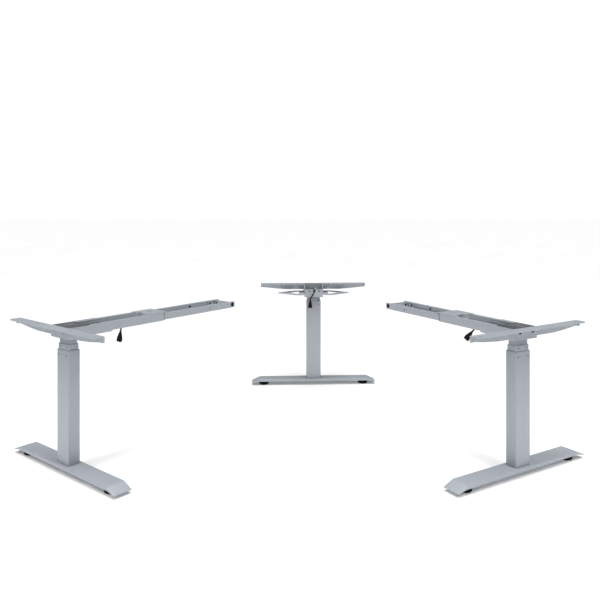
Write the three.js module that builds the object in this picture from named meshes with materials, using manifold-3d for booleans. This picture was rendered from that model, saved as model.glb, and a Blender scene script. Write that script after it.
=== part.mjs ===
// Frame of a three-legged, electrically raised corner desk, shown as its three separate stands.
// Each stand is a foot, a three-stage column, a head with its drive, and arms for the table top.
// The two side stands also carry a telescopic beam that reaches for the corner stand.
// Units are millimetres and +Z is up. Each stand is built about its own column's axis,
// with X along its foot and Y along its beam, and is then turned and put on the floor.
import * as THREE from "three";
import Module from "manifold-3d";

const wasm = await Module();
wasm.setup();

// Fits
const GAP = 0.3;
const ROUND_SIDES = 24;

// Foot: a pressed sheet channel, open below, with sloped ends
const FOOT_LENGTH = 700;
const FOOT_WIDTH = 76;
const FOOT_TOP = 34;
const FOOT_SLOPE_LENGTH = 45;
const FOOT_TIP_TOP = 15;
const FOOT_TIP_BOTTOM = 12;
const FOOT_SIDE_BOTTOM = 21;
const FOOT_TAPER_LENGTH = 40;
const FOOT_SHEET = 3;
const FOOT_EDGE_RADIUS = 2.5;

// Levelling glides
const GLIDE_SPACING = 565;
const GLIDE_RADIUS = 27;
const GLIDE_TOP = 11;
const GLIDE_STUD_RADIUS = 5;
const GLIDE_STUD_TOP = 29.5;
const GLIDE_NUT_RADIUS = 10;
const GLIDE_NUT_BOTTOM = 15;

// Column: three nested rounded tubes, the thickest at the bottom
const OUTER_TUBE = { width: 80, depth: 50, corner: 3.5, wall: 2 };
const MIDDLE_TUBE = { width: 73, depth: 43, corner: 3.2, wall: 1.8 };
const INNER_TUBE = { width: 66.4, depth: 36.4, corner: 2.8, wall: 1.8 };
const OUTER_TOP = 473;
const MIDDLE_BOTTOM = 50;
const INNER_BOTTOM = 58;
const BASE_PLATE = 5;
const BUSHING_WALL = 0.9;
const BUSHING_DEPTH = 34;
const BUSHING_COLLAR = 2;

// Telescopic screw inside the column
const CENTRE_SCREW_RADIUS = 7;
const HOLLOW_SCREW_RADIUS = 12.2;
const HOLLOW_SCREW_BORE = 7.4;
const CARRIER_PLATE = 4;
const DRIVE_TUBE_RADIUS = 15;
const DRIVE_TUBE_BORE = 12.6;
const DRIVE_TUBE_BOTTOM = 62;
const DRIVE_HOLE_RADIUS = 16;

// Gearbox and motor, lying along the beam
const GEARBOX_HALF_WIDTH = 27;
const GEARBOX_FRONT = -33;
const GEARBOX_BACK = 32;
const GEARBOX_HEIGHT = 36;
const MOTOR_RADIUS = 17;
const MOTOR_END = 150;

// Heads: folded sheet boxes round the gearbox
const TOP = 567.5;
const SHEET = 2.5;
const SIDE_HEAD_BOTTOM = 522;
const SIDE_HEAD_HALF_WIDTH = 63.7;
const SIDE_HEAD_FRONT = -37;
const CORNER_HEAD_BOTTOM = 498;
const CORNER_HEAD_HALF_WIDTH = 52;
const CORNER_HEAD_FRONT = -45;
const CORNER_HEAD_BACK = 156;
const CORNER_HEAD_SILL = 542;
const CORNER_CROSS_WALL_BACK = 50;

// Arms under the table top
const ARM_HALF_LENGTH = 300;
const ARM_DEPTH = 50;
const ARM_SHEET = 3;
const ARM_MIDDLE_BOTTOM = 532;
const ARM_END_BOTTOM = 546;
const ARM_FLAT_HALF = 150;
const ARM_CORNER_RADIUS = 16;
const ARM_BACK_RADIUS = 8;
const ARM_BOLT_HEIGHT = 552;
const ARM_RETURN = 16;

// Beam: two channel rails a side stand, the inner pair sliding in the outer pair
const RAIL_TOP = 565;
const RAIL_BOTTOM = 531.5;
const RAIL_SHEET = 2.2;
const OUTER_RAIL_FACE = 60.9;
const OUTER_RAIL_FLANGE = 18;
const OUTER_RAIL_START = 62;
const INNER_RAIL_FACE = 58.4;
const INNER_RAIL_FLANGE = 16;
const INNER_RAIL_LENGTH = 600;
const BRIDGE_BEHIND = 80;
const BRIDGE_BEYOND = 20;
const BRIDGE_SHEET = 2;

// End bracket of the beam
const BRACKET_SHEET = 3;
const EAR_LENGTH = 34;
const EAR_HOLE_RADIUS = 10;

// Wing plates of the corner stand
const WING_TOP = 519;
const WING_SHEET = 4;
const WING_HALF_DEPTH = 86;
const WING_SHOULDER = 101;
const WING_TIP = 204;

// Leads and their plugs
const LEAD_RADIUS = 3.3;
const LEAD_SIDES = 10;
const PLUG_LENGTH = 46;
const PLUG_WIDTH = 22;
const PLUG_THICKNESS = 13;
const PLUG_NECK = 9;

const coat = new THREE.MeshStandardMaterial({ color: 0xa9b0b7, roughness: 0.45, metalness: 0.35 });
const steel = new THREE.MeshStandardMaterial({ color: 0x9a9ea3, roughness: 0.35, metalness: 0.9 });
const greyPlastic = new THREE.MeshStandardMaterial({ color: 0x7f868d, roughness: 0.6, metalness: 0 });
const blackPlastic = new THREE.MeshStandardMaterial({ color: 0x17181a, roughness: 0.55, metalness: 0 });
const darkHousing = new THREE.MeshStandardMaterial({ color: 0x3a3d42, roughness: 0.5, metalness: 0.2 });

// ---------- solids ----------

// A geometry's triangles as a manifold solid.
function solid(geometry) {
  const plain = geometry.index ? geometry.toNonIndexed() : geometry;
  const position = plain.attributes.position;
  const known = new Map();
  const corners = [];
  const triangles = [];
  for (let i = 0; i < position.count; i += 1) {
    const point = [position.getX(i), position.getY(i), position.getZ(i)];
    const key = point.map((value) => Math.round(value * 1e4)).join(",");
    if (!known.has(key)) {
      known.set(key, corners.length / 3);
      corners.push(...point);
    }
    triangles.push(known.get(key));
  }
  return new wasm.Manifold(
    new wasm.Mesh({
      numProp: 3,
      vertProperties: new Float32Array(corners),
      triVerts: new Uint32Array(triangles),
    }),
  );
}

// A manifold solid as a three.js geometry.
function geometryOf(body) {
  const mesh = body.getMesh();
  const geometry = new THREE.BufferGeometry();
  const corners = new Float32Array((mesh.vertProperties.length / mesh.numProp) * 3);
  for (let i = 0; i < corners.length / 3; i += 1) {
    corners.set(mesh.vertProperties.subarray(i * mesh.numProp, i * mesh.numProp + 3), i * 3);
  }
  geometry.setAttribute("position", new THREE.BufferAttribute(corners, 3));
  geometry.setIndex(new THREE.BufferAttribute(new Uint32Array(mesh.triVerts), 1));
  return geometry;
}

function join(first, ...others) {
  return others.reduce((body, other) => body.add(other), first);
}

function cut(first, ...others) {
  return others.reduce((body, other) => body.subtract(other), first);
}

function shapeOf(points) {
  return new THREE.Shape(points.map(([a, b]) => new THREE.Vector2(a, b)));
}

// An outline raised from one level to another along Z; points are [x, y].
function alongZ(points, low, high) {
  const geometry = new THREE.ExtrudeGeometry(shapeOf(points), { depth: high - low, bevelEnabled: false });
  geometry.translate(0, 0, low);
  return solid(geometry);
}

// An outline drawn along X; points are [y, z].
function alongX(points, low, high) {
  const geometry = new THREE.ExtrudeGeometry(shapeOf(points), { depth: high - low, bevelEnabled: false });
  const axes = new THREE.Matrix4().makeBasis(
    new THREE.Vector3(0, 1, 0),
    new THREE.Vector3(0, 0, 1),
    new THREE.Vector3(1, 0, 0),
  );
  geometry.applyMatrix4(axes);
  geometry.translate(low, 0, 0);
  return solid(geometry);
}

// An outline drawn along Y; points are [x, z].
function alongY(points, low, high) {
  const swapped = points.map(([x, z]) => [z, x]);
  const geometry = new THREE.ExtrudeGeometry(shapeOf(swapped), { depth: high - low, bevelEnabled: false });
  const axes = new THREE.Matrix4().makeBasis(
    new THREE.Vector3(0, 0, 1),
    new THREE.Vector3(1, 0, 0),
    new THREE.Vector3(0, 1, 0),
  );
  geometry.applyMatrix4(axes);
  geometry.translate(0, low, 0);
  return solid(geometry);
}

function block(x0, x1, y0, y1, z0, z1) {
  const geometry = new THREE.BoxGeometry(x1 - x0, y1 - y0, z1 - z0);
  geometry.translate((x0 + x1) / 2, (y0 + y1) / 2, (z0 + z1) / 2);
  return solid(geometry);
}

// A round bar along Z.
function barZ(radius, low, high, x = 0, y = 0, sides = ROUND_SIDES) {
  const geometry = new THREE.CylinderGeometry(radius, radius, high - low, sides);
  geometry.rotateX(Math.PI / 2);
  geometry.translate(x, y, (low + high) / 2);
  return solid(geometry);
}

// A round bar along Y.
function barY(radius, low, high, x, z, sides = ROUND_SIDES) {
  const geometry = new THREE.CylinderGeometry(radius, radius, high - low, sides);
  geometry.translate(x, (low + high) / 2, z);
  return solid(geometry);
}

// A round bar along X.
function barX(radius, low, high, y, z, sides = ROUND_SIDES) {
  const geometry = new THREE.CylinderGeometry(radius, radius, high - low, sides);
  geometry.rotateZ(Math.PI / 2);
  geometry.translate((low + high) / 2, y, z);
  return solid(geometry);
}

// The corners of a rectangle with rounded corners, centred on the column's axis.
function roundedRectangle(width, depth, radius, steps = 3) {
  const points = [];
  const centres = [
    [width / 2 - radius, depth / 2 - radius, 0],
    [-width / 2 + radius, depth / 2 - radius, 90],
    [-width / 2 + radius, -depth / 2 + radius, 180],
    [width / 2 - radius, -depth / 2 + radius, 270],
  ];
  for (const [x, y, start] of centres) {
    for (let i = 0; i <= steps; i += 1) {
      const angle = THREE.MathUtils.degToRad(start + (90 * i) / steps);
      points.push([x + radius * Math.cos(angle), y + radius * Math.sin(angle)]);
    }
  }
  return points;
}

// A rounded rectangular tube, given by its outside and its inside.
function hollowTube(outside, inside, low, high) {
  const outer = alongZ(roundedRectangle(...outside), low, high);
  const inner = alongZ(roundedRectangle(...inside), low - 1, high + 1);
  return cut(outer, inner);
}

function columnTube(tube, low, high) {
  const { width, depth, corner, wall } = tube;
  return hollowTube(
    [width, depth, corner],
    [width - 2 * wall, depth - 2 * wall, corner - wall],
    low,
    high,
  );
}

// ---------- foot and glides ----------

function foot() {
  const half = FOOT_LENGTH / 2;
  const flat = half - FOOT_SLOPE_LENGTH;
  const side = alongY(
    [
      [-half, FOOT_TIP_BOTTOM],
      [-half + FOOT_TAPER_LENGTH, FOOT_SIDE_BOTTOM],
      [half - FOOT_TAPER_LENGTH, FOOT_SIDE_BOTTOM],
      [half, FOOT_TIP_BOTTOM],
      [half, FOOT_TIP_TOP],
      [flat, FOOT_TOP],
      [-flat, FOOT_TOP],
      [-half, FOOT_TIP_TOP],
    ],
    -FOOT_WIDTH / 2,
    FOOT_WIDTH / 2,
  );
  const w = FOOT_WIDTH / 2;
  const r = FOOT_EDGE_RADIUS;
  const section = [[-w, 0], [w, 0]];
  for (let i = 0; i <= 3; i += 1) {
    const angle = THREE.MathUtils.degToRad(30 * i);
    section.push([w - r + r * Math.cos(angle), FOOT_TOP - r + r * Math.sin(angle)]);
  }
  for (let i = 0; i <= 3; i += 1) {
    const angle = THREE.MathUtils.degToRad(90 + 30 * i);
    section.push([-w + r + r * Math.cos(angle), FOOT_TOP - r + r * Math.sin(angle)]);
  }
  const outside = side.intersect(alongX(section, -half - 1, half + 1));
  const roof = FOOT_TOP - FOOT_SHEET;
  const hollow = alongY(
    [
      [-half + FOOT_SHEET, 0],
      [half - FOOT_SHEET, 0],
      [half - FOOT_SHEET, FOOT_TIP_TOP - 2.2],
      [flat - 1.3, roof],
      [-flat + 1.3, roof],
      [-half + FOOT_SHEET, FOOT_TIP_TOP - 2.2],
    ],
    -w + FOOT_SHEET,
    w - FOOT_SHEET,
  );
  let body = cut(outside, hollow);
  for (const x of [-GLIDE_SPACING / 2, GLIDE_SPACING / 2]) {
    body = body.add(barZ(GLIDE_NUT_RADIUS, GLIDE_NUT_BOTTOM, roof + 1, x, 0, 6));
  }
  for (const x of [-GLIDE_SPACING / 2, GLIDE_SPACING / 2]) {
    body = body.subtract(barZ(GLIDE_STUD_RADIUS + 0.4, 0, roof, x, 0));
  }
  return body;
}

function glide(x) {
  const profile = [
    [0, 0],
    [GLIDE_RADIUS - 3, 0],
    [GLIDE_RADIUS, 3],
    [GLIDE_RADIUS, GLIDE_TOP - 2],
    [GLIDE_RADIUS - 3, GLIDE_TOP],
    [GLIDE_STUD_RADIUS, GLIDE_TOP],
    [GLIDE_STUD_RADIUS, GLIDE_STUD_TOP],
    [0, GLIDE_STUD_TOP],
  ];
  const points = profile.map(([radius, height]) => new THREE.Vector2(radius, height));
  const geometry = new THREE.LatheGeometry(points, ROUND_SIDES);
  geometry.rotateX(Math.PI / 2);
  geometry.translate(x, 0, 0);
  return solid(geometry);
}

// ---------- column ----------

// The outer tube is welded to its base plate, and the plate carries the fixed centre screw.
function outerTube(headBottom) {
  const { width, depth, corner } = OUTER_TUBE;
  const low = FOOT_TOP + GAP;
  const plate = alongZ(roundedRectangle(width, depth, corner), low, low + BASE_PLATE);
  const screw = barZ(CENTRE_SCREW_RADIUS, low + BASE_PLATE - 1, headBottom - 60, 0, 0, 16);
  return join(columnTube(OUTER_TUBE, low, OUTER_TOP), plate, screw);
}

// A slide bushing: a thin sleeve in the gap between two tubes, with a collar on the outer one's rim.
function bushing(holder, slider, rim) {
  const bore = [slider.width + 2 * GAP, slider.depth + 2 * GAP, slider.corner + GAP];
  const sleeve = [bore[0] + 2 * BUSHING_WALL, bore[1] + 2 * BUSHING_WALL, bore[2] + BUSHING_WALL];
  const collar = [holder.width - 0.8, holder.depth - 0.8, holder.corner - 0.4];
  const hole = alongZ(roundedRectangle(...bore), rim - BUSHING_DEPTH - 1, rim + BUSHING_COLLAR + 2);
  return cut(
    join(
      alongZ(roundedRectangle(...sleeve), rim - BUSHING_DEPTH, rim + GAP + 0.5),
      alongZ(roundedRectangle(...collar), rim + GAP, rim + GAP + BUSHING_COLLAR),
    ),
    hole,
  );
}

// The hollow screw turns on the centre screw and is carried by a plate in the middle tube's foot.
function hollowScrew(headBottom) {
  const width = MIDDLE_TUBE.width - 2 * MIDDLE_TUBE.wall - 2 * GAP;
  const depth = MIDDLE_TUBE.depth - 2 * MIDDLE_TUBE.wall - 2 * GAP;
  const plate = alongZ(
    roundedRectangle(width, depth, 2),
    MIDDLE_BOTTOM,
    MIDDLE_BOTTOM + CARRIER_PLATE,
  );
  const tube = barZ(HOLLOW_SCREW_RADIUS, MIDDLE_BOTTOM, headBottom - 30);
  return cut(join(plate, tube), barZ(HOLLOW_SCREW_BORE, 0, headBottom, 0, 0));
}

// The drive tube turns the hollow screw; its closed top end is the gearbox's output.
function driveTube(headBottom) {
  const body = barZ(DRIVE_TUBE_RADIUS, DRIVE_TUBE_BOTTOM, headBottom + SHEET);
  return cut(body, barZ(DRIVE_TUBE_BORE, 0, headBottom - 12));
}

// ---------- drive ----------

function gearMotor(headBottom) {
  const low = headBottom + SHEET + GAP;
  const middle = low + GEARBOX_HEIGHT / 2;
  const w = GEARBOX_HALF_WIDTH;
  const c = 5;
  const gearbox = alongY(
    [
      [-w, low + c],
      [-w + c, low],
      [w - c, low],
      [w, low + c],
      [w, low + GEARBOX_HEIGHT - c],
      [w - c, low + GEARBOX_HEIGHT],
      [-w + c, low + GEARBOX_HEIGHT],
      [-w, low + GEARBOX_HEIGHT - c],
    ],
    GEARBOX_FRONT,
    GEARBOX_BACK,
  );
  const motor = barY(MOTOR_RADIUS, GEARBOX_BACK - 1, MOTOR_END - 12, 0, middle);
  const cap = barY(MOTOR_RADIUS - 3, MOTOR_END - 13, MOTOR_END, 0, middle);
  return join(gearbox, motor, cap);
}

// ---------- heads and arms ----------

// The side stands' head: an open box whose side walls run on as the holder of the beam.
function sideHead(back) {
  const w = SIDE_HEAD_HALF_WIDTH;
  const low = SIDE_HEAD_BOTTOM;
  const wall = [
    [SIDE_HEAD_FRONT, low],
    [52, low],
    [64, low + 5],
    [back - 12, low + 5],
    [back - 7, low + 8],
    [back - 2.5, low + 13],
    [back, low + 21],
    [back, low + 29],
    [back - 2.5, TOP - 8],
    [back - 6, TOP - 1.5],
    [SIDE_HEAD_FRONT, TOP - 1.5],
  ];
  const box = join(
    block(-w, w, SIDE_HEAD_FRONT, 52, low, low + SHEET),
    block(-w, w, SIDE_HEAD_FRONT, SIDE_HEAD_FRONT + SHEET, low, TOP - 4),
    alongX(wall, -w, -w + SHEET),
    alongX(wall, w - SHEET, w),
  );
  const front = [SIDE_HEAD_FRONT - 1, SIDE_HEAD_FRONT + 5];
  const holes = [-35, 35].map((x) => barY(4.5, ...front, x, ARM_BOLT_HEIGHT, 16));
  return cut(box, barZ(DRIVE_HOLE_RADIUS, low - 1, low + SHEET + 1), ...holes);
}

// The corner stand's head: a deeper open box. Its front wall is low, with a notch for the lead,
// and a cross wall joins its sides behind the arms, with an opening for the motor.
function cornerHead() {
  const w = CORNER_HEAD_HALF_WIDTH;
  const low = CORNER_HEAD_BOTTOM;
  const wall = [
    [CORNER_HEAD_FRONT, low],
    [CORNER_HEAD_BACK, low],
    [CORNER_HEAD_BACK, low + 36],
    [CORNER_CROSS_WALL_BACK + 20, CORNER_HEAD_SILL],
    [CORNER_CROSS_WALL_BACK, TOP - 1],
    [12, TOP - 1],
    [CORNER_HEAD_FRONT, CORNER_HEAD_SILL],
  ];
  const box = join(
    block(-w, w, CORNER_HEAD_FRONT, CORNER_HEAD_BACK, low, low + SHEET),
    block(-w, w, CORNER_HEAD_FRONT, CORNER_HEAD_FRONT + SHEET, low, CORNER_HEAD_SILL),
    block(-w, w, CORNER_CROSS_WALL_BACK - SHEET, CORNER_CROSS_WALL_BACK, low, TOP - 1),
    alongX(wall, -w, -w + SHEET),
    alongX(wall, w - SHEET, w),
  );
  const front = [CORNER_HEAD_FRONT - 1, CORNER_HEAD_FRONT + 5];
  const holes = [-26, 29].map((x) => barY(4.5, ...front, x, 533, 16));
  const notch = block(-4, 10, ...front, 528, CORNER_HEAD_SILL + 1);
  const [y0, y1] = [CORNER_CROSS_WALL_BACK - SHEET - 1, CORNER_CROSS_WALL_BACK + 1];
  const motorOpening = block(-18, 18, y0, y1, low + SHEET, 537.5);
  return cut(box, barZ(DRIVE_HOLE_RADIUS, low - 1, low + SHEET + 1), ...holes, notch, motorOpening);
}

// Plan of an arm with rounded corners, r at the front and b at the back.
function armPlan(x0, x1, y0, y1, r0, r1, b0, b1) {
  const points = [];
  for (let i = 0; i <= 3; i += 1) {
    const angle = THREE.MathUtils.degToRad(30 * i);
    points.push([x1 - b1 + b1 * Math.cos(angle), y1 - b1 + b1 * Math.sin(angle)]);
  }
  for (let i = 0; i <= 3; i += 1) {
    const angle = THREE.MathUtils.degToRad(90 + 30 * i);
    points.push([x0 + b0 + b0 * Math.cos(angle), y1 - b0 + b0 * Math.sin(angle)]);
  }
  for (let i = 0; i <= 4; i += 1) {
    const angle = THREE.MathUtils.degToRad(180 + 22.5 * i);
    points.push([x0 + r0 + r0 * Math.cos(angle), y0 + r0 + r0 * Math.sin(angle)]);
  }
  for (let i = 0; i <= 4; i += 1) {
    const angle = THREE.MathUtils.degToRad(270 + 22.5 * i);
    points.push([x1 - r1 + r1 * Math.cos(angle), y0 + r1 + r1 * Math.sin(angle)]);
  }
  return points;
}

// A pressed arm: top flange and deep web at its back, whose free ends turn the corners a short way.
function arm(x0, x1, back, r0, r1, slots) {
  const t = ARM_SHEET;
  const front = back - ARM_DEPTH;
  const b0 = Math.min(r0, ARM_BACK_RADIUS);
  const b1 = Math.min(r1, ARM_BACK_RADIUS);
  const profile = [[x1, TOP], [x0, TOP]];
  const stations = [
    [-ARM_HALF_LENGTH, ARM_END_BOTTOM],
    [-ARM_FLAT_HALF - 60, ARM_MIDDLE_BOTTOM + 4],
    [-ARM_FLAT_HALF, ARM_MIDDLE_BOTTOM],
    [ARM_FLAT_HALF, ARM_MIDDLE_BOTTOM],
    [ARM_FLAT_HALF + 60, ARM_MIDDLE_BOTTOM + 4],
    [ARM_HALF_LENGTH, ARM_END_BOTTOM],
  ];
  if (x0 > stations[0][0]) profile.push([x0, ARM_MIDDLE_BOTTOM]);
  for (const [x, z] of stations) {
    if (x >= x0 && x <= x1) profile.push([x, z]);
  }
  if (x1 < stations[5][0]) profile.push([x1, ARM_MIDDLE_BOTTOM]);
  const outside = alongZ(armPlan(x0, x1, front, back, r0, r1, b0, b1), 500, TOP)
    .intersect(alongY(profile, front - 1, back + 1));
  const inset = armPlan(
    x0 + t,
    x1 - t,
    front + t,
    back - t,
    Math.max(r0 - t, 0.5),
    Math.max(r1 - t, 0.5),
    Math.max(b0 - t, 0.5),
    Math.max(b1 - t, 0.5),
  );
  let body = cut(outside, alongZ(inset, 499, TOP - t));
  body = cut(body, block(x0 + Math.max(r0, t), x1 - Math.max(r1, t), front - 1, front + t + 1, 499, TOP - t));
  for (const [x, r] of [[x0, r0], [x1, r1]]) {
    if (r < t) continue;
    body = cut(body, block(x - r - 2, x + r + 2, front - 1, back - ARM_RETURN, 499, TOP - t));
  }
  for (const x of slots) {
    const slot = join(
      block(x - 8, x + 8, front + 22, front + 29, TOP - t - 1, TOP + 1),
      barZ(3.5, TOP - t - 1, TOP + 1, x - 8, front + 25.5, 12),
      barZ(3.5, TOP - t - 1, TOP + 1, x + 8, front + 25.5, 12),
    );
    body = cut(body, slot);
  }
  return body;
}

function sideArm() {
  const back = SIDE_HEAD_FRONT - GAP;
  const body = arm(
    -ARM_HALF_LENGTH,
    ARM_HALF_LENGTH,
    back,
    ARM_CORNER_RADIUS,
    ARM_CORNER_RADIUS,
    [-270, -110, 110, 270],
  );
  const holes = [-35, 35].map((x) => barY(4.5, back - 5, back + 1, x, ARM_BOLT_HEIGHT, 16));
  return cut(body, ...holes);
}

function cornerArm(side) {
  const near = CORNER_HEAD_HALF_WIDTH + GAP;
  const back = CORNER_CROSS_WALL_BACK;
  if (side > 0) return arm(near, ARM_HALF_LENGTH, back, 0.5, ARM_CORNER_RADIUS, [110, 270]);
  return arm(-ARM_HALF_LENGTH, -near, back, ARM_CORNER_RADIUS, 0.5, [-270, -110]);
}

// ---------- wing plates ----------

// A pointed flat plate with a pointed opening; the end of one beam comes to rest over it.
function wingPlate(side) {
  const near = CORNER_HEAD_HALF_WIDTH + GAP;
  const d = WING_HALF_DEPTH;
  const low = WING_TOP - WING_SHEET;
  const outline = [
    [side * near, -d],
    [side * WING_SHOULDER, -d],
    [side * WING_TIP, -2],
    [side * WING_TIP, 2],
    [side * WING_SHOULDER, d],
    [side * near, d],
  ];
  const opening = [
    [side * 83, -48],
    [side * 96, -48],
    [side * 148, 0],
    [side * 96, 48],
    [side * 83, 48],
  ];
  return cut(alongZ(outline, low, WING_TOP), alongZ(opening, low - 1, WING_TOP + 1));
}

// ---------- beam ----------

// A channel rail, its flanges turned towards the middle of the beam.
function rail(side, face, flange, bottom, top, start, end) {
  const t = RAIL_SHEET;
  return alongY(
    [
      [side * face, bottom],
      [side * face, top],
      [side * (face - flange), top],
      [side * (face - flange), top - t],
      [side * (face - t), top - t],
      [side * (face - t), bottom + t],
      [side * (face - flange), bottom + t],
      [side * (face - flange), bottom],
    ],
    start,
    end,
  );
}

function outerRail(side, end) {
  return rail(
    side,
    OUTER_RAIL_FACE,
    OUTER_RAIL_FLANGE,
    RAIL_BOTTOM,
    RAIL_TOP,
    OUTER_RAIL_START,
    end,
  );
}

// One rail has a curved upright slot near its end, and the other one two small round holes.
function innerRail(side, end, slotBack) {
  const inset = RAIL_SHEET + 0.4;
  const body = rail(
    side,
    INNER_RAIL_FACE,
    INNER_RAIL_FLANGE,
    RAIL_BOTTOM + inset,
    RAIL_TOP - inset,
    end - INNER_RAIL_LENGTH,
    end,
  );
  const x0 = side > 0 ? INNER_RAIL_FACE - 4 : -INNER_RAIL_FACE - 1;
  const middle = (RAIL_TOP + RAIL_BOTTOM) / 2;
  if (slotBack === null) {
    return cut(body, ...[25, 150].map((back) => barX(4, x0, x0 + 5, end - back, middle, 16)));
  }
  const bow = [];
  for (const [reach, way] of [[20, 1], [17, -1]]) {
    for (let i = -3; i <= 3; i += 1) {
      const angle = THREE.MathUtils.degToRad(5.8 * i * way);
      bow.push([end - slotBack - 18.5 + reach * Math.cos(angle), middle + reach * Math.sin(angle)]);
    }
  }
  return cut(body, alongX(bow, x0, x0 + 5));
}

// The bridge plate ties the outer rails together near their open ends.
function bridgePlate(railEnd) {
  const start = railEnd - BRIDGE_BEHIND;
  const end = railEnd + BRIDGE_BEYOND;
  const low = RAIL_TOP + GAP;
  const high = low + BRIDGE_SHEET;
  const plate = block(-OUTER_RAIL_FACE, OUTER_RAIL_FACE, start, end, low, high);
  const lip = block(-40, 40, start, start + BRIDGE_SHEET, low - 18, low + 1);
  const notch = block(-24, 8, start - 1, start + 14, low - 11, high + 1);
  const slot = join(
    block(-22, 14, start + 48, start + 57, low - 1, high + 1),
    barZ(4.5, low - 1, high + 1, -22, start + 52.5, 12),
    barZ(4.5, low - 1, high + 1, 14, start + 52.5, 12),
  );
  return cut(join(plate, lip), notch, slot);
}

// The end bracket closes the inner rails and stands past them with two drilled ears.
function endBracket(end, holeSide) {
  const t = BRACKET_SHEET;
  const face = INNER_RAIL_FACE - RAIL_SHEET - GAP;
  const low = RAIL_BOTTOM + 2.6;
  const high = RAIL_TOP - 2.6;
  const start = end + GAP;
  const middle = (RAIL_TOP + RAIL_BOTTOM) / 2;
  const parts = [block(-face, face, start, start + t, low, high)];
  for (const side of [-1, 1]) {
    const x0 = side > 0 ? face - t : -face;
    parts.push(block(x0, x0 + t, start, start + EAR_LENGTH, low, high));
    parts.push(block(x0, x0 + t, start - 40, start + 1, low + 4, high - 4));
  }
  const holes = [-1, 1].map((side) => {
    const x0 = side > 0 ? face - t - 1 : -face - 1;
    return barX(EAR_HOLE_RADIUS, x0, x0 + t + 2, start + 19, middle, 20);
  });
  holes.push(barY(7, start - 1, start + t + 1, holeSide * 36, middle, 16));
  return cut(join(...parts), ...holes);
}

// ---------- leads ----------

// A lead swept along a smooth line through its points.
function lead(points) {
  const curve = new THREE.CatmullRomCurve3(points.map((point) => new THREE.Vector3(...point)));
  const section = new THREE.Shape();
  for (let i = 0; i < LEAD_SIDES; i += 1) {
    const angle = (2 * Math.PI * i) / LEAD_SIDES;
    const x = LEAD_RADIUS * Math.cos(angle);
    const y = LEAD_RADIUS * Math.sin(angle);
    if (i === 0) section.moveTo(x, y);
    else section.lineTo(x, y);
  }
  section.closePath();
  return solid(new THREE.ExtrudeGeometry(section, { steps: 28, extrudePath: curve, bevelEnabled: false }));
}

// A plug: a neck that takes the lead, a boot that widens to a flat body, and a latch on the body.
function plug(point, direction) {
  const w = PLUG_WIDTH / 2;
  const t = PLUG_THICKNESS / 2;
  const outline = (side, neck) => [
    [-side, -PLUG_LENGTH],
    [side, -PLUG_LENGTH],
    [side, -PLUG_LENGTH + 14],
    [neck, -PLUG_NECK],
    [-neck, -PLUG_NECK],
    [-side, -PLUG_LENGTH + 14],
  ];
  const body = alongY(outline(w, 5.2), -t, t).intersect(alongX(outline(t, 4.8), -w, w));
  const neck = barZ(4.6, -PLUG_NECK - 1, 0, 0, 0, 12);
  const latch = block(-4, 4, -t - 2, -t + 1, -PLUG_LENGTH + 3, -PLUG_LENGTH + 13);
  const mouth = block(-w + 2.5, w - 2.5, -t + 2.5, t - 2.5, -PLUG_LENGTH - 1, -PLUG_LENGTH + 9);
  const geometry = geometryOf(cut(join(body, neck, latch), mouth));
  const turn = new THREE.Quaternion().setFromUnitVectors(
    new THREE.Vector3(0, 0, -1),
    new THREE.Vector3(...direction).normalize(),
  );
  geometry.applyQuaternion(turn);
  geometry.translate(...point);
  return solid(geometry);
}

// The point a given distance further along a direction.
function beyond(point, direction, distance) {
  const step = new THREE.Vector3(...direction).normalize().multiplyScalar(distance);
  return [point[0] + step.x, point[1] + step.y, point[2] + step.z];
}

// ---------- the three stands ----------

// Pieces that every stand has: [name, solid, material].
function commonPieces(headBottom, middleTop) {
  return [
    ["foot", foot(), coat],
    ["glide_a", glide(-GLIDE_SPACING / 2), blackPlastic],
    ["glide_b", glide(GLIDE_SPACING / 2), blackPlastic],
    ["outer_tube", outerTube(headBottom), coat],
    ["middle_tube", columnTube(MIDDLE_TUBE, MIDDLE_BOTTOM, middleTop), coat],
    ["inner_tube", columnTube(INNER_TUBE, INNER_BOTTOM, headBottom - GAP), coat],
    ["lower_bushing", bushing(OUTER_TUBE, MIDDLE_TUBE, OUTER_TOP), greyPlastic],
    ["upper_bushing", bushing(MIDDLE_TUBE, INNER_TUBE, middleTop), greyPlastic],
    ["hollow_screw", hollowScrew(headBottom), steel],
    ["drive_tube", driveTube(headBottom), steel],
    ["gear_motor", gearMotor(headBottom), darkHousing],
  ];
}

function sidePieces({ headBack, railEnd, beamEnd, slotBack, nearSide, plugReach, plugDirection }) {
  const motorMiddle = SIDE_HEAD_BOTTOM + SHEET + GAP + GEARBOX_HEIGHT / 2;
  const plugTop = [nearSide * 30, plugReach, 516];
  return [
    ...commonPieces(SIDE_HEAD_BOTTOM, 496),
    ["head", sideHead(headBack), coat],
    ["arm", sideArm(), coat],
    ["outer_rail_a", outerRail(-1, railEnd), coat],
    ["outer_rail_b", outerRail(1, railEnd), coat],
    ["bridge_plate", bridgePlate(railEnd), coat],
    ["inner_rail_a", innerRail(-1, beamEnd, nearSide < 0 ? slotBack : null), coat],
    ["inner_rail_b", innerRail(1, beamEnd, nearSide > 0 ? slotBack : null), coat],
    ["end_bracket", endBracket(beamEnd, -nearSide), coat],
    [
      "lead",
      lead([
        [0, MOTOR_END + GAP, motorMiddle],
        [nearSide * 1, MOTOR_END + 12, motorMiddle],
        [nearSide * 12, plugReach - 22, motorMiddle],
        [nearSide * 25, plugReach - 3, motorMiddle - 8],
        beyond(plugTop, plugDirection, -8),
        beyond(plugTop, plugDirection, -GAP),
      ]),
      blackPlastic,
    ],
    ["plug", plug(plugTop, plugDirection), blackPlastic],
  ];
}

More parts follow.
